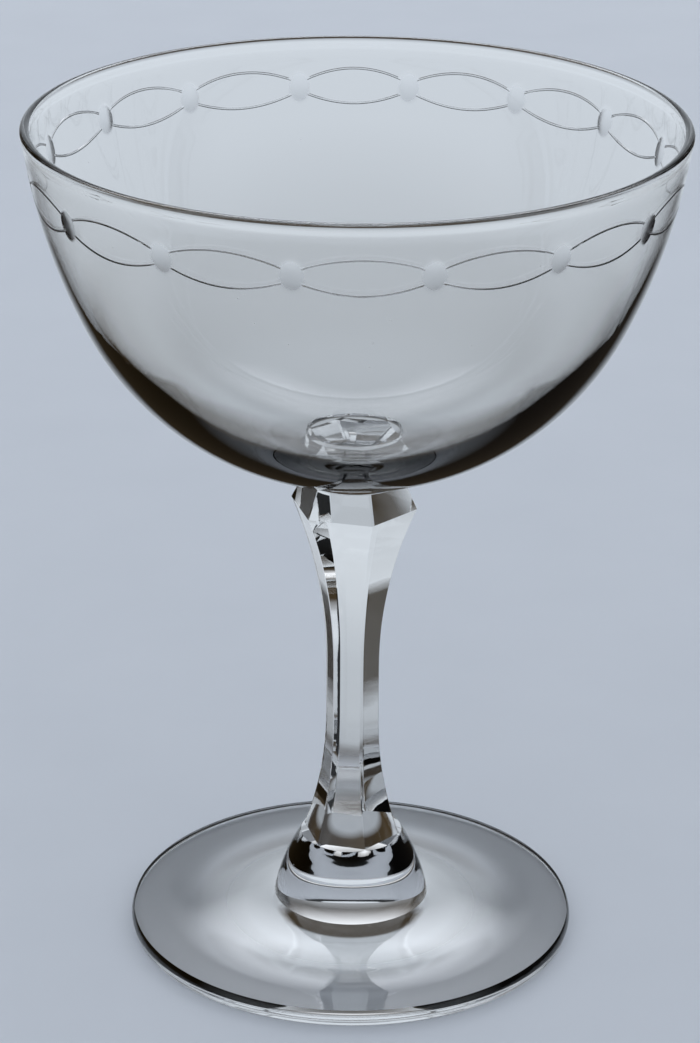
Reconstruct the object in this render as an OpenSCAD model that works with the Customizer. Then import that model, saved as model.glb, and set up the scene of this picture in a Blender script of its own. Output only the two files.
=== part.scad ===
// Coupe glass: a thin blown bowl on a six-sided cut stem, with a round foot.
// Millimetres, +Z up, origin at the middle of the foot's resting face.

/* [Bowl] */
// Overall height of the glass
glass_h = 127; // [118:0.5:138]
// Diameter across the lip
rim_d = 95; // [86:0.5:104]
// Height of the bowl, from the lowest point of its curve to the rim
bowl_h = 53; // [47:0.5:58]
// Radius of the long curve up the bowl's side
side_r = 88; // [78:1:105]
// Lean of the side at the rim, in degrees from upright
rim_lean = 6.9; // [4:0.1:9]
// Thickness of the wall just under the lip
wall_t = 1.15; // [0.9:0.05:1.4]
// How much tighter the hollow's side curve is, which thickens the wall downwards
hollow_drop = 7; // [3:0.5:10]
// Thickness of the bowl's floor
floor_t = 3; // [2.2:0.1:4]
// Thickness of the rounded lip, a little more than the wall
lip_d = 1.5; // [1.45:0.05:2]
// Height of the lip above its middle, less than half its thickness where its top is ground level
lip_crown = 0.65; // [0.45:0.05:0.7]
// Depth of the round collar under the bowl, which the stem meets
collar_t = 0.9; // [0.5:0.1:1.5]
// Ledge of the collar beyond the corners of the stem
collar_ledge = 0.2; // [0.1:0.05:0.5]

/* [Stem] */
// Width across the flats where the stem meets the bowl
stem_top_w = 13.2; // [11:0.1:15]
// Width across the flats at the girdle, the widest ring of corners
girdle_w = 16.6; // [15.2:0.1:18]
// Height of the short slanted flats between the girdle and the bowl
bevel_h = 4.2; // [3:0.1:5.5]
// Width across the flats at the waist
waist_w = 7.1; // [6:0.1:8]
// Height at which the straight waist starts
waist_z = 34; // [31:0.5:37]
// Length of the straight waist
waist_h = 9; // [6:0.5:12]
// Radius of the hollow flats below the waist
flute_r = 64; // [58:0.5:70]
// Height at which the flats stop on the round pad
stop_z = 15; // [13.5:0.25:16.5]
// Slope of the ledge that the wheel leaves there, in degrees
stop_slope = 8; // [4:0.5:14]
// Ledge of the pad beyond the corners of the flats
stop_ledge = 0.2; // [0.1:0.05:0.4]
// Turn of the first flat from the X axis, in degrees
stem_turn = 16; // [0:1:60]
// Diameter of the round pad on the foot
pad_d = 23.6; // [21.6:0.2:25.6]
// Radius of the pad's bulging side
pad_bulge_r = 34; // [26:1:44]

/* [Foot] */
// Diameter of the foot
foot_d = 67.6; // [60:0.2:76]
// Thickness of the foot at its edge
edge_t = 2.5; // [2:0.1:3.2]
// Radius of the foot's rounded edge
edge_r = 2.2; // [1.8:0.1:3]
// Height of the foot's middle, where the pad sits
seat_z = 4.65; // [4:0.05:5.5]
// Width of the level ring inside the rounded edge
level_w = 3.1; // [2.2:0.1:4]
// Diameter at which the top face is steepest
ring_d = 46; // [42:0.5:50]
// Diameter of the polished hollow in the middle of the underside
pontil_d = 24.6; // [20:0.2:27]
// Depth of that hollow
pontil_h = 1.5; // [1:0.1:1.9]

/* [Hidden] */
$fn = 120;
// Sides of the large circles that shape the foot's nearly flat faces
long_arc_fn = 720;
// Number of flats round the stem
flat_count = 6;
// Two turns for each flat, counted in flats, so that all are turned alike and go once round
flat_steps = [[1, -1], [2, -1], [1, 1], [2, 1], [-1, -1], [-2, 1]];
// Overrun of cuts past the faces that they leave
overrun = 1;
// Two arcs that run into each other cross by this much, so that no step is left
arc_lap = 0.01;
glass_colour = [0.80, 0.84, 0.87, 0.45];

// Heights of the seams and of the stem's girdle
bowl_z = glass_h - bowl_h;
collar_z = bowl_z - collar_t;
girdle_z = collar_z - bevel_h;
waist_top_z = waist_z + waist_h;

// Bowl: the middle of the lip, and the side arcs of its outer face and its hollow
lip_c = [rim_d / 2 - lip_d / 2, glass_h - lip_crown];
side_out = [cos(rim_lean), -sin(rim_lean)];
hollow_side_r = side_r - wall_t - hollow_drop;
outer_c = lip_c + side_out * (wall_t / 2 - side_r);
hollow_c = lip_c - side_out * (wall_t / 2 + hollow_side_r);
hollow_z = bowl_z + floor_t;

// Stem: half widths and corner radii, then the arcs of the flats and of the round blank
corner_share = 1 / cos(180 / flat_count);
waist_a = waist_w / 2;
girdle_a = girdle_w / 2;
stem_top_a = stem_top_w / 2;
blank_r = girdle_a * corner_share + overrun;
collar_r = stem_top_a * corner_share + collar_ledge;
upper_flute_r = arc_r_from_rise(girdle_z - waist_top_z, girdle_a - waist_a);
bevel_slope = (girdle_a - stem_top_a) / bevel_h;
stop_a = waist_a + flute_r - sqrt(flute_r ^ 2 - (waist_z - stop_z) ^ 2);
stop_fall = tan(stop_slope);
pad_r = pad_d / 2;
pad_foot = [pad_r, seat_z];
pad_top = [stop_a * corner_share + stop_ledge, stop_z];
pad_run = pad_top - pad_foot;
pad_in = [-pad_run[1], pad_run[0]] / norm(pad_run);
pad_c = (pad_top + pad_foot) / 2 + pad_in * sqrt(pad_bulge_r ^ 2 - pad_run * pad_run / 4);
wheel_reach = blank_r + pad_r;

// Foot: the two arcs of its top face, level at their ends and steepest where they meet, and its underside
foot_r = foot_d / 2;
edge_in_r = foot_r - edge_r;
level_r = edge_in_r - level_w;
ring_r = ring_d / 2;
ring_slope = 2 * atan((seat_z - edge_t) / (level_r - pad_r));
dish_r = (level_r - ring_r) / sin(ring_slope);
swell_r = (ring_r - pad_r) / sin(ring_slope);
pontil_r = arc_r_from_rise(pontil_d / 2, pontil_h);

// Radius of the arc that starts level and rises by `rise` over the length `run`
function arc_r_from_rise(run, rise) = (run ^ 2 + rise ^ 2) / (2 * rise);

// Radius of the arc that is level on the axis at height z and runs into the side arc round c
function bottom_r(c, r, z) =
    let (drop = c[1] - z)
    (r ^ 2 - c[0] ^ 2 - drop ^ 2) / (2 * (r - drop));

// Height at which that bottom arc runs into the side arc
function side_foot_z(c, r, z) =
    let (low_r = bottom_r(c, r, z))
    c[1] + (z + low_r - c[1]) * r / (r - low_r);

// The half plane to the right of the axis, between two heights
module right_of_axis(width, low, high) {
    translate([0, low]) square([width, high - low]);
}

// Outline of a bowl: a bottom arc centred on the axis, and a longer side arc up to the lip
module bowl_outline(c, r, z) {
    low_r = bottom_r(c, r, z) + arc_lap;
    intersection() {
        right_of_axis(rim_d, z - overrun, lip_c[1]);
        union() {
            translate([0, z + low_r]) circle(low_r);
            intersection() {
                translate(c) circle(r);
                right_of_axis(rim_d, side_foot_z(c, r, z), glass_h);
            }
        }
    }
}

module bowl() {
    color(glass_colour) rotate_extrude() {
        difference() {
            union() {
                bowl_outline(outer_c, side_r, bowl_z);
                right_of_axis(collar_r, collar_z, hollow_z - floor_t / 2);
            }
            intersection() {
                bowl_outline(hollow_c, hollow_side_r, hollow_z);
                right_of_axis(rim_d, bowl_z, glass_h);
            }
        }
        intersection() {
            translate(lip_c) circle(lip_d / 2);
            right_of_axis(rim_d, bowl_z, glass_h);
        }
    }
}

// Round blank of the stem: the bulging pad, and stock for the flats above it
module stem_blank() {
    rotate_extrude() {
        intersection() {
            translate(pad_c) circle(pad_bulge_r);
            right_of_axis(wheel_reach, seat_z, stop_z);
        }
        right_of_axis(blank_r, stop_z, collar_z);
    }
}

// Outline of what the wheel grinds away for one flat: the slant, the hollow length and the ledge below
module flat_cut() {
    intersection() {
        union() {
            translate([waist_a + upper_flute_r - arc_lap, waist_top_z]) circle(upper_flute_r);
            translate([waist_a + flute_r - arc_lap, waist_z]) circle(flute_r);
            translate([waist_a, waist_z]) square([wheel_reach, waist_h]);
            polygon([
                [girdle_a + overrun * bevel_slope, girdle_z - overrun],
                [stem_top_a - overrun * bevel_slope, collar_z + overrun],
                [wheel_reach + overrun, collar_z + overrun],
                [wheel_reach + overrun, girdle_z - overrun]
            ]);
        }
        polygon([
            [0, stop_z + stop_a * stop_fall],
            [wheel_reach, stop_z - (wheel_reach - stop_a) * stop_fall],
            [wheel_reach, collar_z + overrun],
            [0, collar_z + overrun]
        ]);
    }
}

module stem() {
    color(glass_colour) rotate([0, 0, stem_turn]) difference() {
        stem_blank();
        for (steps = flat_steps)
            rotate([0, 0, steps[0] * 360 / flat_count])
                rotate([90, 0, steps[1] * 360 / flat_count])
                    linear_extrude(height = 2 * wheel_reach, center = true) flat_cut();
    }
}

// Outline of the foot's rise to the pad: a swell round the pad that runs into a shallow dish
module foot_rise() {
    difference() {
        intersection() {
            right_of_axis(level_r, 0, seat_z);
            union() {
                right_of_axis(pad_r, 0, seat_z);
                translate([pad_r, seat_z - swell_r]) circle(swell_r + arc_lap, $fn = long_arc_fn);
                translate([ring_r, 0]) right_of_axis(level_r, 0, seat_z);
            }
        }
        translate([level_r, edge_t + dish_r - arc_lap]) circle(dish_r, $fn = long_arc_fn);
    }
}

module foot() {
    color(glass_colour) rotate_extrude() difference() {
        union() {
            right_of_axis(edge_in_r, 0, edge_t);
            intersection() {
                right_of_axis(foot_r, 0, edge_t);
                translate([edge_in_r, edge_t / 2]) circle(edge_r);
            }
            foot_rise();
        }
        intersection() {
            translate([0, pontil_h - pontil_r]) circle(pontil_r);
            right_of_axis(foot_r, -overrun, pontil_h + overrun);
        }
    }
}

bowl();
stem();
foot();
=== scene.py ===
"""Looks of a coupe glass: an engraved bowl, a cut stem and a foot, all of clear glass.

Lengths are metres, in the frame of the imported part: +Z up, the origin under the middle of the foot.
"""

import math

import bmesh
import bpy
from mathutils import Matrix, Vector


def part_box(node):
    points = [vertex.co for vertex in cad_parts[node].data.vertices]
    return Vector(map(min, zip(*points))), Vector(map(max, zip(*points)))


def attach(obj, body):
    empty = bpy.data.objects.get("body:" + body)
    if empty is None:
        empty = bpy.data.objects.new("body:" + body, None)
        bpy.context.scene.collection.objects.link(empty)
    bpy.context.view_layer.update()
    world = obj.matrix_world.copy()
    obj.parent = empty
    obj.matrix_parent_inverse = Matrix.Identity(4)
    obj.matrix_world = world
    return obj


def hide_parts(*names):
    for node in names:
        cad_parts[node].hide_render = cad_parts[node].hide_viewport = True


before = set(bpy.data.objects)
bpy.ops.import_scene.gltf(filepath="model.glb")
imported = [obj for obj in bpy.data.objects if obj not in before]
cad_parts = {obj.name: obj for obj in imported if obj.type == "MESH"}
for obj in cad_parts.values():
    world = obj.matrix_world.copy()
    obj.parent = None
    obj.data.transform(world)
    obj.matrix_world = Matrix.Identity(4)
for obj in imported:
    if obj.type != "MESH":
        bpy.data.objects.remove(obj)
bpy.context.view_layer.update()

MM = 0.001
BODY = "root"

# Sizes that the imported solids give
bowl_low, bowl_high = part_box("bowl")
_, foot_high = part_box("foot")
RIM_R = bowl_high.x
GLASS_H = bowl_high.z
COLLAR_Z = bowl_low.z
FOOT_R = foot_high.x
SEAT_Z = foot_high.z

# Bowl
BOWL_H = 53 * MM
SIDE_R = 88 * MM
RIM_LEAN = math.radians(6.9)
WALL_T = 1.15 * MM
HOLLOW_DROP = 7 * MM
FLOOR_T = 3 * MM
LIP_T = 1.5 * MM
LIP_CROWN = 0.65 * MM
LIP_BLEND = 1.4 * MM
COLLAR_LEDGE = 0.2 * MM
COLLAR_FILLET = 0.25 * MM

# Engraved chain of ovals and dots round the bowl, with the middle of an oval at CHAIN_FRONT
CHAIN_Z = 119.3 * MM
CHAIN_REACH = 4.4 * MM
CHAIN_FRONT = math.radians(-90 + 0.9)
CHAIN_SWAY = math.radians(2.2)
CHAIN_SEED = 7
DOT_COUNT = 16
DOT_JITTER = math.radians(0.5)
DOT_W = 3.5 * MM
DOT_H = 4.6 * MM
DOT_DEPTH = 0.32 * MM
OVAL_HALF_H = 2.68 * MM
OVAL_END_H = 0.58 * MM
LINE_W = 0.38 * MM
LINE_DEPTH = 0.13 * MM

# Stem
FLAT_COUNT = 6
STEM_TURN = math.radians(16)
STEM_TOP_A = 13.2 * MM / 2
GIRDLE_A = 16.6 * MM / 2
WAIST_A = 7.1 * MM / 2
BEVEL_H = 4.2 * MM
WAIST_Z = 34 * MM
WAIST_H = 9 * MM
FLUTE_R = 64 * MM
STOP_Z = 15 * MM
STOP_SLOPE = math.tan(math.radians(8))
STOP_LEDGE = 0.2 * MM
PAD_R = 23.6 * MM / 2
PAD_BULGE_R = 34 * MM
ARRIS_WEAR = 0.05 * MM

# Foot
EDGE_T = 2.5 * MM
EDGE_R = 2.2 * MM
LEVEL_W = 3.1 * MM
RING_R = 23 * MM
PONTIL_R = 24.6 * MM / 2
PONTIL_H = 1.5 * MM

# How fine the meshes are: steps along each stretch of a profile, and columns round the axis
COLLAR_STEPS = 4
BOTTOM_STEPS = 20
OUTSIDE_STEPS = 9
ABOVE_CHAIN_STEPS = 2
LIP_STEPS = 5
LIP_CAP_STEPS = 14
HOLLOW_STEPS = 14
OVAL_ROWS = 6
LINE_ROWS = 4
MARGIN_ROWS = 12
MARGIN_POWER = 1.2
DOT_COLUMNS = 9
OVAL_COLUMNS = 18
DOT_COLUMNS_SHARE = 0.13
STEM_STEPS = {"pad": 14, "stop": 8, "flute": 24, "waist": 4, "upper flute": 26, "bevel": 5}
STOCK_COLUMNS = 10
FLAT_COLUMNS = 6
PONTIL_STEPS = 14
EDGE_STEPS = 12
DISH_STEPS = 14
SWELL_STEPS = 18
FOOT_COLUMNS = 256
MERGE_DISTANCE = 0.4e-6
SHARP_ANGLE = math.radians(24)
HALVINGS = 50

# Small values that keep tests and divisions in the trees clear of rounding
LINE_SLACK = 1.01
SEAM_SHARE = 0.9
HALF_COLUMN = 0.5
LEAST_FLAT = 0.001
NEARLY_ONE = 0.99
LEAST_SQUARE = 1e-6
POLE_STOCK = 1 * MM

# Finishes of the glass: tints, roughness, depths of bumps, and scales in marks per metre
GLASS_IOR = 1.52
CLEAR_TINT = (0.985, 0.985, 0.98, 1)
GROUND_TINT = (0.93, 0.94, 0.95, 1)
FLAT_TINT = (0.985, 0.98, 0.97, 1)
POLISH_TINT = (0.97, 0.968, 0.955, 1)
FILM_TINT = (0.97, 0.972, 0.965, 1)
WAVE_DETAIL = 1.0
POLISH_DETAIL = 2.0
FILM_DETAIL = 3.0
BLOWN_FILM_SCALE = 90
BLOWN_FILM_ROUGHNESS = 0.02
BLOWN_WAVE_SCALE = 55
BLOWN_WAVE_DEPTH = 0.05 * MM
LINE_GROUND = 1.5
DOT_GROUND = 6
GROUND_ROUGHNESS = 0.3
DUST_SPACING = 2.2 * MM
DUST_SHARE = 0.05
DUST_R = 0.10 * MM
DUST_ROUGHNESS = 0.5
POLISH_SCALES = (60, 60, 420)
POLISH_SHARE = 0.3
POLISH_ROUGHNESS = 0.03
FLAT_WAVE_SCALE = 120
FLAT_WAVE_DEPTH = 0.04 * MM
SPUN_RING_SCALE = 320
SPUN_RING_DEPTH = 0.01 * MM
FOOT_FILM_SCALE = 70
FOOT_FILM_ROUGHNESS = 0.03

# Floor: the camera sees all of it, and other light only a ring between two fades, by radius
FLOOR_REACH = 3.0
FLOOR_DROP = 0.05 * MM
FLOOR_TINTS = ((0.60, 0.64, 0.70, 1), (0.64, 0.68, 0.74, 1))
FLOOR_GRAIN_SCALE = 40
FLOOR_ROUGHNESS = 0.8
FLOOR_FADE_IN = (16 * MM, 24 * MM)
FLOOR_FADE_OUT = (36 * MM, 46 * MM)

# Low dark strips behind the left and right of the glass, seen only through it, which paint shade on the
# stem's facets; angles in degrees from straight behind it
STRIP_R = 72 * MM
STRIP_SIDES = (30, 60)
STRIP_HEIGHTS = (0.5 * MM, 48 * MM)
STRIP_STEPS = 10
STRIP_FADE_SHARE = 0.12
STRIP_ROUGHNESS = 0.7
STRIP_GRAIN_ROUGHNESS = 0.3
STRIP_GRAIN_SCALE = 300
SLAT_COUNT = 128
SLAT_TILT = 67.8
SLAT_LAP = 1.35
# Painted shade: the strips' dark colours, brown on the left, which the stem's facets show through the glass;
# the world's dark parts take the same colours
LEFT_DARK = (0.062, 0.042, 0.018, 1)
RIGHT_DARK = (0.032, 0.030, 0.030, 1)

# Light from all round: each pair is two angles, in degrees, between which one part fades into the next
BACKDROP = (0.60, 0.64, 0.71, 1)
SOFT_SKY = (0.84, 0.88, 0.94, 1)
SOFT_STRENGTH = 0.82
PALE_LOW = (0.35, 0.385, 0.43, 1)
PALE_HIGH = (0.68, 0.74, 0.81, 1)
PALE_EDGES = (-38, -8)
BAND_TOP = (14, 30)
BAND_LOW = (-31, -35)
NADIR = (-52, -62)
BEHIND_EDGES = (14, 26)
FRONT_EDGES = (100, 125)
PANEL_SIDES = (24, 48)
PANEL_LOW = (28, 44)
PANEL_TOP = (46, 62)
PANEL_STRENGTH = 5.0
PANEL_LOSS = 0.68
LAMP_AT = Vector((0, 0.95, 0.75))
LAMP_AIM = Vector((0, 0.25, 0))
LAMP_W = 1.2
LAMP_H = 0.6
LAMP_POWER = 1.5
BOUNCES = 24

# Camera of the photograph's view, fitted to the rim and the foot
PHOTO_H = 1043
FOCAL_PX = 3469
SENSOR_MM = 36
CAMERA_AT = Vector((0, -472.3 * MM, 264.1 * MM))
CAMERA_PITCH = math.radians(22.77)
CAMERA_YAW = math.radians(0.07)
CAMERA_ROLL = math.radians(0.46)
CAMERA_NEAR = 10 * MM


class Wire:
    """An output socket of a node. Sums on it add Math nodes to its tree."""

    def __init__(self, graph, socket):
        self.graph = graph
        self.socket = socket

    def maths(self, operation, *values, clamp=False):
        settings = {"operation": operation, "use_clamp": clamp}
        return self.graph.add("ShaderNodeMath", settings, dict(enumerate(values)))

    def __add__(self, other):
        return self.maths("ADD", self, other)

    def __radd__(self, other):
        return self.maths("ADD", other, self)

    def __sub__(self, other):
        return self.maths("SUBTRACT", self, other)

    def __rsub__(self, other):
        return self.maths("SUBTRACT", other, self)

    def __mul__(self, other):
        return self.maths("MULTIPLY", self, other)

    def __rmul__(self, other):
        return self.maths("MULTIPLY", other, self)

    def __truediv__(self, other):
        return self.maths("DIVIDE", self, other)

    def __rtruediv__(self, other):
        return self.maths("DIVIDE", other, self)

    def __mod__(self, other):
        return self.maths("FLOORED_MODULO", self, other)

    def __abs__(self):
        return self.maths("ABSOLUTE", self)

    def __lt__(self, other):
        return self.maths("LESS_THAN", self, other)

    def __gt__(self, other):
        return self.maths("GREATER_THAN", self, other)

    def least(self, other):
        return self.maths("MINIMUM", self, other)

    def most(self, other):
        return self.maths("MAXIMUM", self, other)

    def clamped(self):
        return self.maths("ADD", self, 0, clamp=True)

    def floor(self):
        return self.maths("FLOOR", self)

    def sign(self):
        return self.maths("SIGN", self)

    def root(self):
        return self.maths("SQRT", self)

    def sine(self):
        return self.maths("SINE", self)

    def cosine(self):
        return self.maths("COSINE", self)

    def arccosine(self):
        return self.maths("ARCCOSINE", self)


class Graph:
    """A node tree being built. add() makes any node and gives back one of its outputs."""

    def __init__(self, tree):
        self.tree = tree
        self.tree.nodes.clear()

    def add(self, kind, settings=(), inputs=(), output=0):
        node = self.tree.nodes.new(kind)
        for name, value in dict(settings).items():
            setattr(node, name, value)
        for key, value in dict(inputs).items():
            if isinstance(value, Wire):
                self.tree.links.new(value.socket, node.inputs[key])
            else:
                node.inputs[key].default_value = value
        if not node.outputs:
            return None
        return Wire(self, node.outputs[output])

    def split(self, vector):
        return [self.add("ShaderNodeSeparateXYZ", (), {0: vector}, axis) for axis in range(3)]

    def join(self, x, y, z):
        return self.add("ShaderNodeCombineXYZ", (), {0: x, 1: y, 2: z})

    def from_axis(self, vector):
        x, y, _ = self.split(vector)
        return (x * x + y * y).root()


class ShapeGraph(Graph):
    """A geometry tree with named inputs, which turns a profile into a piece."""

    def __init__(self, name, sizes):
        super().__init__(bpy.data.node_groups.new(name, "GeometryNodeTree"))
        interface = self.tree.interface
        interface.new_socket("Profile", in_out="INPUT", socket_type="NodeSocketGeometry")
        interface.new_socket("Piece", in_out="OUTPUT", socket_type="NodeSocketGeometry")
        self.sizes = sizes
        self.keys = {}
        for label, value in sizes.items():
            kind = "NodeSocketInt" if isinstance(value, int) else "NodeSocketFloat"
            socket = interface.new_socket(label, in_out="INPUT", socket_type=kind)
            self.keys[label] = socket.identifier
        self.group_input = self.tree.nodes.new("NodeGroupInput")

    def size(self, label):
        return Wire(self, self.group_input.outputs[label])

    def profile(self):
        return Wire(self, self.group_input.outputs["Profile"])

    def place(self):
        return self.add("GeometryNodeInputPosition")

    def named(self, name):
        return self.add("GeometryNodeInputNamedAttribute", {"data_type": "FLOAT"}, {"Name": name})

    def of_row(self, row, value, data_type="FLOAT"):
        """What a field of the profile gives at the point that a row stands for."""
        inputs = {"Geometry": self.profile(), "Value": value, "Index": row}
        return self.add("GeometryNodeSampleIndex", {"data_type": data_type}, inputs)

    def mark(self, row, name):
        """The number that the profile holds under a name, at the point that a row stands for."""
        return self.of_row(row, self.named(name))

    def profile_point(self, row):
        """Radius and height of the profile's point that a row stands for."""
        radius, _, height = self.split(self.of_row(row, self.place(), "FLOAT_VECTOR"))
        return radius, height

    def grid(self, columns):
        """A grid with a row for each point of the profile, and the number of each vertex's column and row."""
        rows = self.add("GeometryNodeAttributeDomainSize", {"component": "MESH"}, {0: self.profile()})
        inputs = {"Vertices X": columns + 1, "Vertices Y": rows}
        grid = self.add("GeometryNodeMeshGrid", (), inputs)
        index = self.add("GeometryNodeInputIndex")
        column = (index / rows).floor()
        return grid, column, index - column * rows

    def wrap(self, grid, radius, angle, height):
        """The grid bent round the axis, with its seam and its poles closed."""
        place = self.join(radius * angle.cosine(), radius * angle.sine(), height)
        bent = self.add("GeometryNodeSetPosition", (), {"Geometry": grid, "Position": place})
        inputs = {"Geometry": bent, "Distance": MERGE_DISTANCE}
        return self.add("GeometryNodeMergeByDistance", (), inputs)

    def keep(self, mesh, name, value):
        """The mesh with a value stored on its points, for its material to read."""
        inputs = {"Geometry": mesh, "Name": name, "Value": value}
        return self.add("GeometryNodeStoreNamedAttribute", {"data_type": "FLOAT"}, inputs)

    def coat(self, mesh, material, chosen=True):
        inputs = {"Geometry": mesh, "Selection": chosen, "Material": material}
        return self.add("GeometryNodeSetMaterial", (), inputs)

    def face_height(self):
        return self.split(self.place())[2]

    def finish(self, mesh):
        whole = self.add("GeometryNodeRealizeInstances", (), {"Geometry": mesh})
        self.add("NodeGroupOutput", (), {0: whole})
        return self


# Curves
def spread(low, high, steps, power=1.0):
    """Values from low to high, both included. A power over 1 puts them closer together at the low end."""
    return [low + (high - low) * (step / steps) ** power for step in range(steps + 1)]


def arc(centre, radius, start, end, steps):
    """Points of an arc in the plane of radius and height, from one angle to another, both included."""
    angles = spread(start, end, steps)
    return [(centre[0] + radius * math.cos(a), centre[1] + radius * math.sin(a)) for a in angles]


def angle_at_height(centre, radius, height):
    """Angle of the arc's point at that height, on the side away from the axis."""
    return math.asin((height - centre[1]) / radius)


def rise_radius(run, rise):
    """Radius of the arc that starts level and rises over a run."""
    return (run ** 2 + rise ** 2) / (2 * rise)


# Pieces
def add_object(name, data):
    thing = bpy.data.objects.new(name, data)
    bpy.context.scene.collection.objects.link(thing)
    return thing


def mark_points(mesh, name, numbers):
    mesh.attributes.new(name, "FLOAT", "POINT").data.foreach_set("value", numbers)


def make_piece(name, profile, shape):
    """The piece that a shape's tree makes from a profile, its points and their marks, as a plain mesh."""
    points, marks = profile
    source = bpy.data.meshes.new(name + "_profile")
    source.from_pydata([(r, 0, z) for r, z in points], [], [])
    for label, numbers in marks.items():
        mark_points(source, label, numbers)
    piece = add_object(name, source)
    modifier = piece.modifiers.new("shape", "NODES")
    modifier.node_group = shape.tree
    for label, key in shape.keys.items():
        modifier[key] = shape.sizes[label]
    seen = piece.evaluated_get(bpy.context.evaluated_depsgraph_get())
    piece.data = bpy.data.meshes.new_from_object(seen)
    piece.data.name = name
    piece.modifiers.clear()
    bpy.data.meshes.remove(source)
    smooth_faces(piece.data)
    return piece


def smooth_faces(mesh):
    """Turns faces outwards, and keeps only real edges sharp: steep ones, and those between two finishes."""
    work = bmesh.new()
    work.from_mesh(mesh)
    bmesh.ops.recalc_face_normals(work, faces=work.faces)
    for face in work.faces:
        face.smooth = True
    for edge in work.edges:
        first, second = edge.link_faces
        other_finish = first.material_index != second.material_index
        edge.smooth = not other_finish and edge.calc_face_angle() < SHARP_ANGLE
    work.to_mesh(mesh)
    work.free()


def stand_for(piece, node):
    """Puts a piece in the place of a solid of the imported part."""
    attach(piece, BODY)
    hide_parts(node)


# Materials
def make_material(name, finish):
    """A material of one shader. finish adds the nodes of its surface and gives the shader's inputs."""
    material = bpy.data.materials.new(name)
    material.use_nodes = True
    graph = Graph(material.node_tree)
    shader = graph.add("ShaderNodeBsdfPrincipled", (), finish(graph))
    graph.add("ShaderNodeOutputMaterial", (), {"Surface": shader})
    return material


def mix_colours(graph, share, first, second):
    inputs = {"Factor": share, 6: first, 7: second}
    return graph.add("ShaderNodeMix", {"data_type": "RGBA"}, inputs, 2)


def object_place(graph):
    return graph.add("ShaderNodeTexCoord", (), (), "Object")


def point_mark(graph, name):
    return graph.add("ShaderNodeAttribute", {"attribute_name": name}, (), "Fac")


def light_path(graph, kind):
    return graph.add("ShaderNodeLightPath", (), (), kind)


def noise(graph, vector, scale, detail):
    inputs = {"Vector": vector, "Scale": scale, "Detail": detail}
    return graph.add("ShaderNodeTexNoise", (), inputs)


def bump(graph, height, distance):
    inputs = {"Height": height, "Distance": distance, "Strength": 1.0}
    return graph.add("ShaderNodeBump", (), inputs)


def specks(graph, vector, spacing, share, radius):
    """Dust: 1 in small spots, one in some of the cells of that spacing."""
    cell = {"Vector": vector, "Scale": 1 / spacing}
    far = graph.add("ShaderNodeTexVoronoi", (), cell, "Distance")
    tint = graph.add("ShaderNodeTexVoronoi", (), cell, "Color")
    pick = graph.add("ShaderNodeSeparateColor", (), {0: tint}, 0)
    return (pick < share) * (far < radius / spacing)


def clear_glass(tone, roughness, normal):
    """The shader's inputs for clear glass with a surface of its own."""
    return {
        "Transmission Weight": 1.0,
        "IOR": GLASS_IOR,
        "Base Color": tone,
        "Roughness": roughness,
        "Normal": normal,
    }


def blown_finish(graph):
    """Blown glass: slow waves, a few specks, and matt ground where it is engraved."""
    place = object_place(graph)
    ground = point_mark(graph, "cut")
    film = noise(graph, place, BLOWN_FILM_SCALE, FILM_DETAIL)
    dust = specks(graph, place, DUST_SPACING, DUST_SHARE, DUST_R)
    waves = noise(graph, place, BLOWN_WAVE_SCALE, WAVE_DETAIL)
    roughness = film * BLOWN_FILM_ROUGHNESS + ground * GROUND_ROUGHNESS
    return clear_glass(
        mix_colours(graph, ground.most(dust), CLEAR_TINT, GROUND_TINT),
        roughness.most(dust * DUST_ROUGHNESS),
        bump(graph, waves, BLOWN_WAVE_DEPTH),
    )


def cut_finish(graph):
    """Wheel-polished flats: fine lines across the stem that the polish left."""
    place = object_place(graph)
    stretched = graph.add("ShaderNodeMapping", (), {"Vector": place, "Scale": POLISH_SCALES})
    lines = noise(graph, stretched, 1.0, POLISH_DETAIL)
    waves = noise(graph, place, FLAT_WAVE_SCALE, WAVE_DETAIL)
    return clear_glass(
        mix_colours(graph, lines, FLAT_TINT, POLISH_TINT),
        lines * POLISH_ROUGHNESS,
        bump(graph, lines * POLISH_SHARE + waves, FLAT_WAVE_DEPTH),
    )


def foot_finish(graph):
    """Spun foot: faint rings round the axis, under a thin film."""
    place = object_place(graph)
    rings = noise(graph, graph.join(graph.from_axis(place), 0, 0), SPUN_RING_SCALE, WAVE_DETAIL)
    film = noise(graph, place, FOOT_FILM_SCALE, FILM_DETAIL)
    return clear_glass(
        mix_colours(graph, film, CLEAR_TINT, FILM_TINT),
        film * FOOT_FILM_ROUGHNESS,
        bump(graph, rings, SPUN_RING_DEPTH),
    )


def fused_finish(_):
    """Where two gathers are fused there is no surface: light goes straight through."""
    return {"Alpha": 0.0, "Roughness": 0.0}


BLOWN_GLASS = make_material("blown_glass", blown_finish)
CUT_GLASS = make_material("cut_glass", cut_finish)
FOOT_GLASS = make_material("foot_glass", foot_finish)
FUSED = make_material("fused_joint", fused_finish)


# Bowl
BOWL_Z = GLASS_H - BOWL_H
LIP = (RIM_R - LIP_T / 2, GLASS_H - LIP_CROWN)
LEAN_OUT = (math.cos(RIM_LEAN), -math.sin(RIM_LEAN))
LEAN_UP = (math.sin(RIM_LEAN), math.cos(RIM_LEAN))
HOLLOW_R = SIDE_R - WALL_T - HOLLOW_DROP
HOLLOW_Z = BOWL_Z + FLOOR_T
SECTOR = 2 * math.pi / FLAT_COUNT
CORNER_SHARE = 1 / math.cos(SECTOR / 2)
COLLAR_R = STEM_TOP_A * CORNER_SHARE + COLLAR_LEDGE


def from_lip(out, up):
    """A point given from the middle of the lip, outwards and up along the leaning wall."""
    return tuple(LIP[i] + LEAN_OUT[i] * out + LEAN_UP[i] * up for i in range(2))


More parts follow.
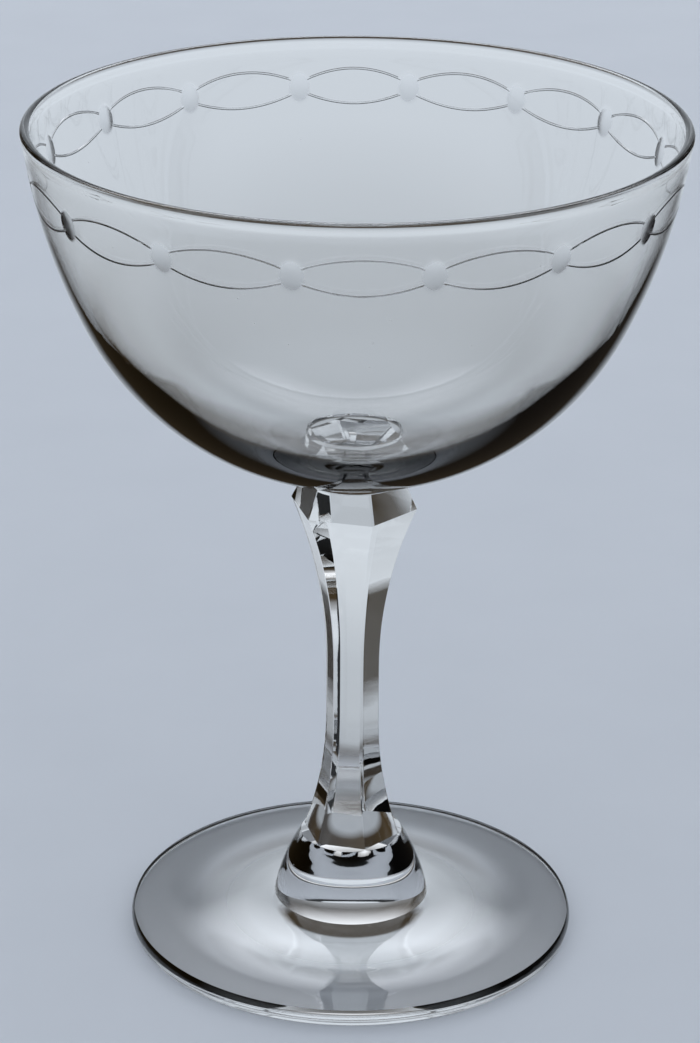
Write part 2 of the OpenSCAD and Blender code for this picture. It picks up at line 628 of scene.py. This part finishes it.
OUTER_C = from_lip(WALL_T / 2 - SIDE_R, 0)
HOLLOW_C = from_lip(-WALL_T / 2 - HOLLOW_R, 0)
CHAIN_ANGLE = angle_at_height(OUTER_C, SIDE_R, CHAIN_Z)
CHAIN_R = OUTER_C[0] + SIDE_R * math.cos(CHAIN_ANGLE)
FIRST_DOT = CHAIN_FRONT + math.pi / DOT_COUNT
COLUMNS_PER_OVAL = 2 * DOT_COLUMNS + OVAL_COLUMNS


def bottom_radius(centre, radius, low):
    """Radius of the arc that is level on the axis and runs into the side arc."""
    drop = centre[1] - low
    return (radius ** 2 - centre[0] ** 2 - drop ** 2) / (2 * (radius - drop))


def bowl_curve(centre, radius, low, start_r, top_angle, side_steps):
    """A face of the bowl from near the axis up to an angle of its side arc."""
    low_r = bottom_radius(centre, radius, low)
    low_c = (0, low + low_r)
    join_z = centre[1] + (low_c[1] - centre[1]) * radius / (radius - low_r)
    join = angle_at_height(centre, radius, join_z)
    start = -math.acos(start_r / low_r)
    bottom = arc(low_c, low_r, start, join, BOTTOM_STEPS)
    return bottom + arc(centre, radius, join, top_angle, side_steps)[1:]


def lip_curve():
    """The rounded lip, from the outer face over the top to the hollow."""
    half_walls = []
    for step in range(LIP_STEPS):
        share = step / LIP_STEPS
        swell = share * share * (3 - 2 * share)
        half_walls.append(((WALL_T + (LIP_T - WALL_T) * swell) / 2, (share - 1) * LIP_BLEND))
    side = [from_lip(out, up) for out, up in half_walls]
    angles = spread(0, math.pi, LIP_CAP_STEPS)
    top = [from_lip(LIP_T / 2 * math.cos(a), LIP_CROWN * math.sin(a)) for a in angles]
    back = [from_lip(-out, up) for out, up in reversed(half_walls)]
    return side + top + back


def chain_rows():
    """Heights of the chain's rows from its middle: close together at the two lines."""
    line_low = OVAL_HALF_H - LINE_W / 2
    line_top = OVAL_HALF_H + LINE_W / 2
    upper = (
        spread(0, line_low, OVAL_ROWS)[:-1]
        + spread(line_low, line_top, LINE_ROWS)
        + spread(line_top, CHAIN_REACH, MARGIN_ROWS, MARGIN_POWER)[1:]
    )
    return [-row for row in reversed(upper[1:])] + upper


def bowl_profile():
    """Points of the bowl from under the collar, up the outside and down the hollow, and their marks."""
    rows = chain_rows()
    chain_low = CHAIN_ANGLE + rows[0] / SIDE_R
    chain_top = CHAIN_ANGLE + rows[-1] / SIDE_R
    lip_low = -RIM_LEAN - LIP_BLEND / SIDE_R
    hollow_top = -RIM_LEAN - LIP_BLEND / HOLLOW_R
    stem_edge = (STEM_TOP_A, COLLAR_Z)
    fillet_c = (COLLAR_R - COLLAR_FILLET, COLLAR_Z + COLLAR_FILLET)
    collar = arc(fillet_c, COLLAR_FILLET, -math.pi / 2, 0, COLLAR_STEPS)
    outside = bowl_curve(OUTER_C, SIDE_R, BOWL_Z, COLLAR_R, chain_low, OUTSIDE_STEPS)[:-1]
    chain = [(CHAIN_R, CHAIN_Z + row) for row in rows]
    above = arc(OUTER_C, SIDE_R, chain_top, lip_low, ABOVE_CHAIN_STEPS)[1:-1]
    hollow = bowl_curve(HOLLOW_C, HOLLOW_R, HOLLOW_Z, 0, hollow_top, HOLLOW_STEPS)[:-1]
    before = [(0, COLLAR_Z), stem_edge] + collar + outside
    after = above + lip_curve() + hollow[::-1]
    points = before + chain + after
    return points, {
        "in_chain": [0] * len(before) + [1] * len(chain) + [0] * len(after),
        "offset": [0] * len(before) + rows + [0] * len(after),
        "on_hexagon": [float(point == stem_edge) for point in points],
    }


def dot_drift(shape, number):
    """How far a dot stands from its even place, as an angle."""
    inputs = {"Min": -1.0, "Max": 1.0, "ID": number % shape.size("Dots"), "Seed": shape.size("Seed")}
    random = shape.add("FunctionNodeRandomValue", {"data_type": "FLOAT"}, inputs, 1)
    return random * shape.size("Jitter")


def chain_turn(shape, column):
    """A column's place along its oval, from 0 at one dot to 1 at the next, and its angle round the axis."""
    oval = (column / COLUMNS_PER_OVAL).floor()
    step = column - oval * COLUMNS_PER_OVAL
    along = (
        DOT_COLUMNS_SHARE * (step / DOT_COLUMNS).clamped()
        + (1 - 2 * DOT_COLUMNS_SHARE) * ((step - DOT_COLUMNS) / OVAL_COLUMNS).clamped()
        + DOT_COLUMNS_SHARE * ((step - DOT_COLUMNS - OVAL_COLUMNS) / DOT_COLUMNS).clamped()
    )
    even = shape.size("First Dot") + 2 * math.pi / shape.size("Dots") * (oval + along)
    drift = dot_drift(shape, oval) * (1 - along) + dot_drift(shape, oval + 1) * along
    return along, even + drift + shape.size("Sway") * even.cosine()


def chain_height(shape, along, offset):
    """Height of a row from the middle of the chain, where the rows at a line follow that line."""
    line_edge = shape.size("Line Width") / 2
    half_h = shape.size("Oval Half Height")
    end_h = shape.size("Oval End Height")
    across = 2 * along - 1
    line_h = end_h + (half_h - end_h) * (1 - across * across)
    level = abs(offset)
    inner = level * (line_h - line_edge) / (half_h - line_edge)
    on_line = line_h + level - half_h
    beyond = (level - half_h - line_edge) / (CHAIN_REACH - half_h - line_edge)
    outer = line_h + line_edge + beyond * (CHAIN_REACH - line_h - line_edge)
    is_inner = level < half_h - line_edge * LINE_SLACK
    is_outer = level > half_h + line_edge * LINE_SLACK
    height = inner * is_inner + outer * is_outer + on_line * (1 - is_inner) * (1 - is_outer)
    return height * offset.sign()


def chain_cut(shape, along, offset, height):
    """Depth of the cut, a round groove on each line and a shallow hollow at each dot, and how matt it is."""
    off_line = (abs(offset) - shape.size("Oval Half Height")) / (shape.size("Line Width") / 2)
    from_dot = along.least(1 - along) * (2 * math.pi * CHAIN_R / shape.size("Dots"))
    dot_x = from_dot / (shape.size("Dot Width") / 2)
    dot_y = height / (shape.size("Dot Height") / 2)
    dot = 1 - dot_x * dot_x - dot_y * dot_y
    line = (1 - off_line * off_line).clamped() * (dot < 0)
    depth = (line * shape.size("Line Depth")).most(dot.most(0) * shape.size("Dot Depth"))
    ground = (line * LINE_GROUND).most(dot * DOT_GROUND).clamped()
    return depth, ground


def bowl_shape():
    """Tree of the bowl: a turned grid with the chain of ovals and dots cut into its outside."""
    shape = ShapeGraph("engraved_bowl", {
        "Dots": DOT_COUNT,
        "First Dot": FIRST_DOT,
        "Sway": CHAIN_SWAY,
        "Jitter": DOT_JITTER,
        "Oval Half Height": OVAL_HALF_H,
        "Oval End Height": OVAL_END_H,
        "Line Width": LINE_W,
        "Line Depth": LINE_DEPTH,
        "Dot Width": DOT_W,
        "Dot Height": DOT_H,
        "Dot Depth": DOT_DEPTH,
        "Seed": CHAIN_SEED,
    })
    grid, column, row = shape.grid(shape.size("Dots") * COLUMNS_PER_OVAL)
    along, angle = chain_turn(shape, column)

    # Rows of the chain, on the outer face less the depth of the cut
    in_chain = shape.mark(row, "in_chain")
    offset = shape.mark(row, "offset")
    height = chain_height(shape, along, offset)
    depth, ground = chain_cut(shape, along, offset, height)
    lean = CHAIN_ANGLE + height / SIDE_R
    chain_r = OUTER_C[0] + (SIDE_R - depth) * lean.cosine()
    chain_z = OUTER_C[1] + (SIDE_R - depth) * lean.sine()

    # All other rows, round but for the one on the edge of the stem's top
    round_r, plain_z = shape.profile_point(row)
    on_hexagon = shape.mark(row, "on_hexagon")
    from_flat = (angle - STEM_TURN + SECTOR / 2) % SECTOR - SECTOR / 2
    plain_r = round_r * (1 - on_hexagon) + on_hexagon * STEM_TOP_A / from_flat.cosine()

    radius = plain_r * (1 - in_chain) + chain_r * in_chain
    level = plain_z * (1 - in_chain) + chain_z * in_chain
    kept = shape.keep(grid, "cut", ground * in_chain)
    mesh = shape.coat(shape.wrap(kept, radius, angle, level), BLOWN_GLASS)
    in_hexagon = shape.from_axis(shape.place()) < SEAM_SHARE * STEM_TOP_A
    seam = (shape.face_height() < COLLAR_Z + MERGE_DISTANCE) * in_hexagon
    return shape.finish(shape.coat(mesh, FUSED, seam))


# Stem
WAIST_TOP_Z = WAIST_Z + WAIST_H
GIRDLE_Z = COLLAR_Z - BEVEL_H
STOP_A = WAIST_A + FLUTE_R - math.sqrt(FLUTE_R ** 2 - (WAIST_Z - STOP_Z) ** 2)
PAD_TOP = Vector((STOP_A * CORNER_SHARE + STOP_LEDGE, STOP_Z))
PAD_FOOT = Vector((PAD_R, SEAT_Z))
PAD_RUN = PAD_TOP - PAD_FOOT
PAD_BACK = math.sqrt((PAD_BULGE_R / PAD_RUN.length) ** 2 - 1 / 4)
PAD_C = (PAD_TOP + PAD_FOOT) / 2 + Vector((-PAD_RUN.y, PAD_RUN.x)) * PAD_BACK
UPPER_FLUTE_R = rise_radius(GIRDLE_Z - WAIST_TOP_Z, GIRDLE_A - WAIST_A)


def flat_distance(z):
    """Distance of a flat from the axis at a height."""
    if z > GIRDLE_Z:
        return GIRDLE_A + (STEM_TOP_A - GIRDLE_A) * (z - GIRDLE_Z) / BEVEL_H
    if z > WAIST_TOP_Z:
        return WAIST_A + UPPER_FLUTE_R - math.sqrt(UPPER_FLUTE_R ** 2 - (z - WAIST_TOP_Z) ** 2)
    if z > WAIST_Z:
        return WAIST_A
    if z >= STOP_Z:
        return WAIST_A + FLUTE_R - math.sqrt(FLUTE_R ** 2 - (WAIST_Z - z) ** 2)
    return STOP_A + (STOP_Z - z) / STOP_SLOPE


def round_distance(z):
    """Radius of the round stock at a height: the pad, then the worn arrises above it."""
    arris = flat_distance(z) * CORNER_SHARE - ARRIS_WEAR
    if z >= STOP_Z:
        return arris
    return min(arris, PAD_C.x + math.sqrt(PAD_BULGE_R ** 2 - (z - PAD_C.y) ** 2))


def height_where(test, low, high):
    """Height at which a test that is false below turns true."""
    for _ in range(HALVINGS):
        middle = (low + high) / 2
        if test(middle):
            high = middle
        else:
            low = middle
    return high


def stem_profile():
    """Heights of the stem's rows, with the distance of its flats and of its round stock at each."""
    flats_end = height_where(lambda z: flat_distance(z) < round_distance(z), SEAT_Z, STOP_Z)
    levels = [SEAT_Z, flats_end, STOP_Z, WAIST_Z, WAIST_TOP_Z, GIRDLE_Z, COLLAR_Z]
    heights = [SEAT_Z]
    for low, high, steps in zip(levels, levels[1:], STEM_STEPS.values()):
        heights += spread(low, high, steps)[1:]
    flats = [flat_distance(z) for z in heights]
    rounds = [round_distance(z) for z in heights]
    points = [(0, SEAT_Z)] + [(1, z) for z in heights] + [(0, COLLAR_Z)]
    return points, {"flat": [0] + flats + [0], "round": [POLE_STOCK] + rounds + [POLE_STOCK]}


def stem_shape():
    """Tree of the stem: flats all round, each as wide as the round stock leaves it."""
    shape = ShapeGraph("cut_stem", {"Flats": FLAT_COUNT, "Turn": STEM_TURN})
    flats = shape.size("Flats")
    sector = 2 * math.pi / flats
    flat_end = STOCK_COLUMNS + FLAT_COLUMNS
    per_flat = flat_end + STOCK_COLUMNS
    grid, column, row = shape.grid(flats * per_flat)
    number = (column / per_flat).floor()
    step = column - number * per_flat
    flat = shape.mark(row, "flat")
    stock_r = shape.mark(row, "round")
    edge = (flat / stock_r).least(1).arccosine()
    rest = sector / 2 - edge
    from_flat = (
        edge * 2 * ((step - STOCK_COLUMNS) / FLAT_COLUMNS).clamped()
        + rest * (step / STOCK_COLUMNS).clamped()
        + rest * ((step - flat_end) / STOCK_COLUMNS).clamped()
        - sector / 2
    )
    off_pole, height = shape.profile_point(row)
    radius = (flat / from_flat.cosine()).least(stock_r) * off_pole
    angle = shape.size("Turn") + sector * number + from_flat
    on_flat = (step > STOCK_COLUMNS - HALF_COLUMN) * (step < flat_end + HALF_COLUMN)
    kept = shape.keep(grid, "on_flat", on_flat * (edge > LEAST_FLAT))
    mesh = shape.coat(shape.wrap(kept, radius, angle, height), BLOWN_GLASS)
    mesh = shape.coat(mesh, CUT_GLASS, shape.named("on_flat") > NEARLY_ONE)
    face_z = shape.face_height()
    seam = (face_z < SEAT_Z + MERGE_DISTANCE).most(face_z > COLLAR_Z - MERGE_DISTANCE)
    return shape.finish(shape.coat(mesh, FUSED, seam))


# Foot
def foot_profile():
    """Points of the foot from the middle of its underside, round its edge and up to the pad."""
    edge_in = FOOT_R - EDGE_R
    edge_angle = math.asin(EDGE_T / 2 / EDGE_R)
    hollow_r = rise_radius(PONTIL_R, PONTIL_H)
    hollow_angle = math.asin(PONTIL_R / hollow_r)
    level_in = edge_in - LEVEL_W
    slope = 2 * math.atan((SEAT_Z - EDGE_T) / (level_in - PAD_R))
    dish_r = (level_in - RING_R) / math.sin(slope)
    swell_r = (RING_R - PAD_R) / math.sin(slope)
    up = math.pi / 2
    under = arc((0, PONTIL_H - hollow_r), hollow_r, up, up - hollow_angle, PONTIL_STEPS)
    edge = arc((edge_in, EDGE_T / 2), EDGE_R, -edge_angle, edge_angle, EDGE_STEPS)
    dish = arc((level_in, EDGE_T + dish_r), dish_r, -up, -up - slope, DISH_STEPS)
    swell = arc((PAD_R, SEAT_Z - swell_r), swell_r, up - slope, up, SWELL_STEPS)
    return under + edge + dish + swell[1:] + [(0, SEAT_Z)], {}


def foot_shape():
    """Tree of the foot: its profile turned round the axis."""
    shape = ShapeGraph("turned_foot", {"Columns": FOOT_COLUMNS})
    columns = shape.size("Columns")
    grid, column, row = shape.grid(columns)
    radius, height = shape.profile_point(row)
    mesh = shape.wrap(grid, radius, column * (2 * math.pi) / columns, height)
    mesh = shape.coat(mesh, FOOT_GLASS)
    return shape.finish(shape.coat(mesh, FUSED, shape.face_height() > SEAT_Z - MERGE_DISTANCE))


# Stage
def fade_in(value, edges):
    """0 before the first of two values and 1 after the second."""
    start, end = edges
    return ((value - start) / (end - start)).clamped()


def floor_finish(graph):
    place = object_place(graph)
    grain = noise(graph, place, FLOOR_GRAIN_SCALE, FILM_DETAIL)
    from_axis = graph.from_axis(place)
    in_ring = fade_in(from_axis, FLOOR_FADE_IN) * (1 - fade_in(from_axis, FLOOR_FADE_OUT))
    return {
        "Base Color": mix_colours(graph, grain, *FLOOR_TINTS),
        "Roughness": FLOOR_ROUGHNESS,
        "Alpha": light_path(graph, "Is Camera Ray").most(in_ring),
    }


def stage_floor():
    """A plain pale floor just under the foot."""
    floor = bpy.data.meshes.new("floor")
    sides = ((-1, -1), (1, -1), (1, 1), (-1, 1))
    corners = [(x * FLOOR_REACH, y * FLOOR_REACH, -FLOOR_DROP) for x, y in sides]
    floor.from_pydata(corners, [], [(0, 1, 2, 3)])
    floor.materials.append(make_material("pale_floor", floor_finish))
    add_object("floor", floor)


def strip_mesh(name, side):
    """A low strip of slats, tilted so that steep light passes between them, with fading edges."""
    places = []
    fades = []
    faces = []
    start, end = STRIP_HEIGHTS
    pitch = (end - start) / SLAT_COUNT
    tilt = math.radians(SLAT_TILT)
    rise = SLAT_LAP * pitch * math.sin(tilt)
    run = SLAT_LAP * pitch * math.cos(tilt)
    for slat in range(SLAT_COUNT):
        up = (slat + 1 / 2) / SLAT_COUNT
        low = start + slat * pitch
        for step, degrees in enumerate(spread(*STRIP_SIDES, STRIP_STEPS)):
            across = step / STRIP_STEPS
            angle = math.radians(degrees)
            for radius, height in ((STRIP_R, low + rise), (STRIP_R + run, low)):
                places.append((side * radius * math.sin(angle), radius * math.cos(angle), height))
                fades.append(min(1, min(across, 1 - across, up, 1 - up) / STRIP_FADE_SHARE))
            if step > 0:
                last = len(places) - 1
                faces.append((last - 3, last - 2, last, last - 1))
    strip = bpy.data.meshes.new(name)
    strip.from_pydata(places, [], faces)
    mark_points(strip, "fade", fades)
    return strip


def painted_shade_strip(name, colour, side):
    """A dark strip behind one side of the glass, as painted shade, which gives the stem's facets their dark
    sides.

    Only light that has passed through glass meets it.
    """
    def strip_finish(graph):
        grain = noise(graph, object_place(graph), STRIP_GRAIN_SCALE, FILM_DETAIL)
        roughness = STRIP_ROUGHNESS + grain * STRIP_GRAIN_ROUGHNESS
        # Painted shade: the strip's dark colour is what the stem's facets show as their dark sides
        return {"Base Color": colour, "Roughness": roughness, "Alpha": point_mark(graph, "fade")}

    strip = strip_mesh(name, side)
    strip.materials.append(make_material(name, strip_finish))
    piece = add_object(name, strip)
    piece.visible_camera = False
    piece.visible_diffuse = False
    piece.visible_glossy = False
    piece.visible_shadow = False


# Light and camera
def glow(graph, colour, strength=1.0):
    return graph.add("ShaderNodeBackground", (), {"Color": colour, "Strength": strength})


def mix_glows(graph, share, first, second):
    return graph.add("ShaderNodeMixShader", (), {0: share, 1: first, 2: second})


def fade_up(height, angles):
    """0 before the first of two angles above the horizon and 1 after the second."""
    return fade_in(height, [math.sin(math.radians(angle)) for angle in angles])


def fade_round(behind, angles):
    """0 before the first of two angles from straight behind the glass and 1 after the second."""
    return fade_in(behind, [math.cos(math.radians(angle)) for angle in angles])


def studio_world():
    """Soft light on the object, a plain backdrop for the camera, and what the glass shows.

    Glass lets through a pale band with dark parts above and below it, and pale light from straight down.
    It mirrors the same, but with dark sides, and mirrors a bright panel high behind it.
    """
    world = bpy.data.worlds.new("studio")
    bpy.context.scene.world = world
    world.use_nodes = True
    graph = Graph(world.node_tree)
    x, y, z = graph.split(graph.add("ShaderNodeTexCoord", (), (), "Generated"))
    behind = y / (x * x + y * y).most(LEAST_SQUARE).root()
    glossy = light_path(graph, "Is Glossy Ray")
    through = light_path(graph, "Is Transmission Ray")
    undiffused = light_path(graph, "Diffuse Depth") < 1

    # Pale and dark parts
    open_side = (1 - fade_round(behind, BEHIND_EDGES)).most(fade_round(behind, FRONT_EDGES)).most(through)
    in_band = (1 - fade_up(z, BAND_TOP)) * (1 - fade_up(z, BAND_LOW))
    is_pale = (open_side * in_band).most(fade_up(z, NADIR))
    dark = mix_colours(graph, ((x + 1) / 2).clamped(), LEFT_DARK, RIGHT_DARK)
    pale = mix_colours(graph, fade_up(z, PALE_EDGES), PALE_LOW, PALE_HIGH)
    studio = glow(graph, mix_colours(graph, is_pale, dark, pale))

    # Bright panel, mostly lost to light that passes through, for which Is Glossy Ray holds too
    panel_height = fade_up(z, PANEL_LOW) * (1 - fade_up(z, PANEL_TOP))
    in_panel = (1 - fade_round(behind, PANEL_SIDES)) * panel_height
    shine = glossy * (1 - through * PANEL_LOSS) * in_panel
    studio = mix_glows(graph, shine, studio, glow(graph, SOFT_SKY, PANEL_STRENGTH))

    sky = glow(graph, SOFT_SKY, SOFT_STRENGTH)
    shown = mix_glows(graph, glossy.most(through) * undiffused, sky, studio)
    shown = mix_glows(graph, light_path(graph, "Is Camera Ray"), shown, glow(graph, BACKDROP))
    graph.add("ShaderNodeOutputWorld", (), {"Surface": shown})


def back_light():
    """A soft lamp behind the glass, which glass itself doesn't show."""
    lamp = bpy.data.lights.new("back_softbox", "AREA")
    lamp.shape = "RECTANGLE"
    lamp.size = LAMP_W
    lamp.size_y = LAMP_H
    lamp.energy = LAMP_POWER
    holder = add_object("back_softbox", lamp)
    holder.visible_glossy = False
    holder.visible_transmission = False
    holder.location = LAMP_AT
    holder.rotation_mode = "QUATERNION"
    holder.rotation_quaternion = (LAMP_AIM - LAMP_AT).to_track_quat("-Z", "Y")


def photo_camera():
    """The camera at the photograph's place. Its sensor spans the photograph's longer side, its height."""
    lens = bpy.data.cameras.new("photo_camera")
    lens.sensor_width = SENSOR_MM
    lens.lens = FOCAL_PX / PHOTO_H * SENSOR_MM
    lens.clip_start = CAMERA_NEAR
    camera = add_object("photo_camera", lens)
    turn = (
        Matrix.Rotation(CAMERA_YAW, 4, "Z")
        @ Matrix.Rotation(math.pi / 2 - CAMERA_PITCH, 4, "X")
        @ Matrix.Rotation(CAMERA_ROLL, 4, "Z")
    )
    camera.matrix_world = Matrix.Translation(CAMERA_AT) @ turn
    bpy.context.scene.camera = camera


stand_for(make_piece("engraved_bowl", bowl_profile(), bowl_shape()), "bowl")
stand_for(make_piece("cut_stem", stem_profile(), stem_shape()), "stem")
stand_for(make_piece("turned_foot", foot_profile(), foot_shape()), "foot")

stage_floor()
# Painted shade on the stem's facets: dark strips that only light through the glass meets
painted_shade_strip("left_painted_shade", LEFT_DARK, -1)
painted_shade_strip("right_painted_shade", RIGHT_DARK, 1)
studio_world()
back_light()
photo_camera()

scene = bpy.context.scene
scene.view_settings.view_transform = "Standard"
scene.cycles.max_bounces = BOUNCES
scene.cycles.transmission_bounces = BOUNCES
scene.cycles.transparent_max_bounces = BOUNCES
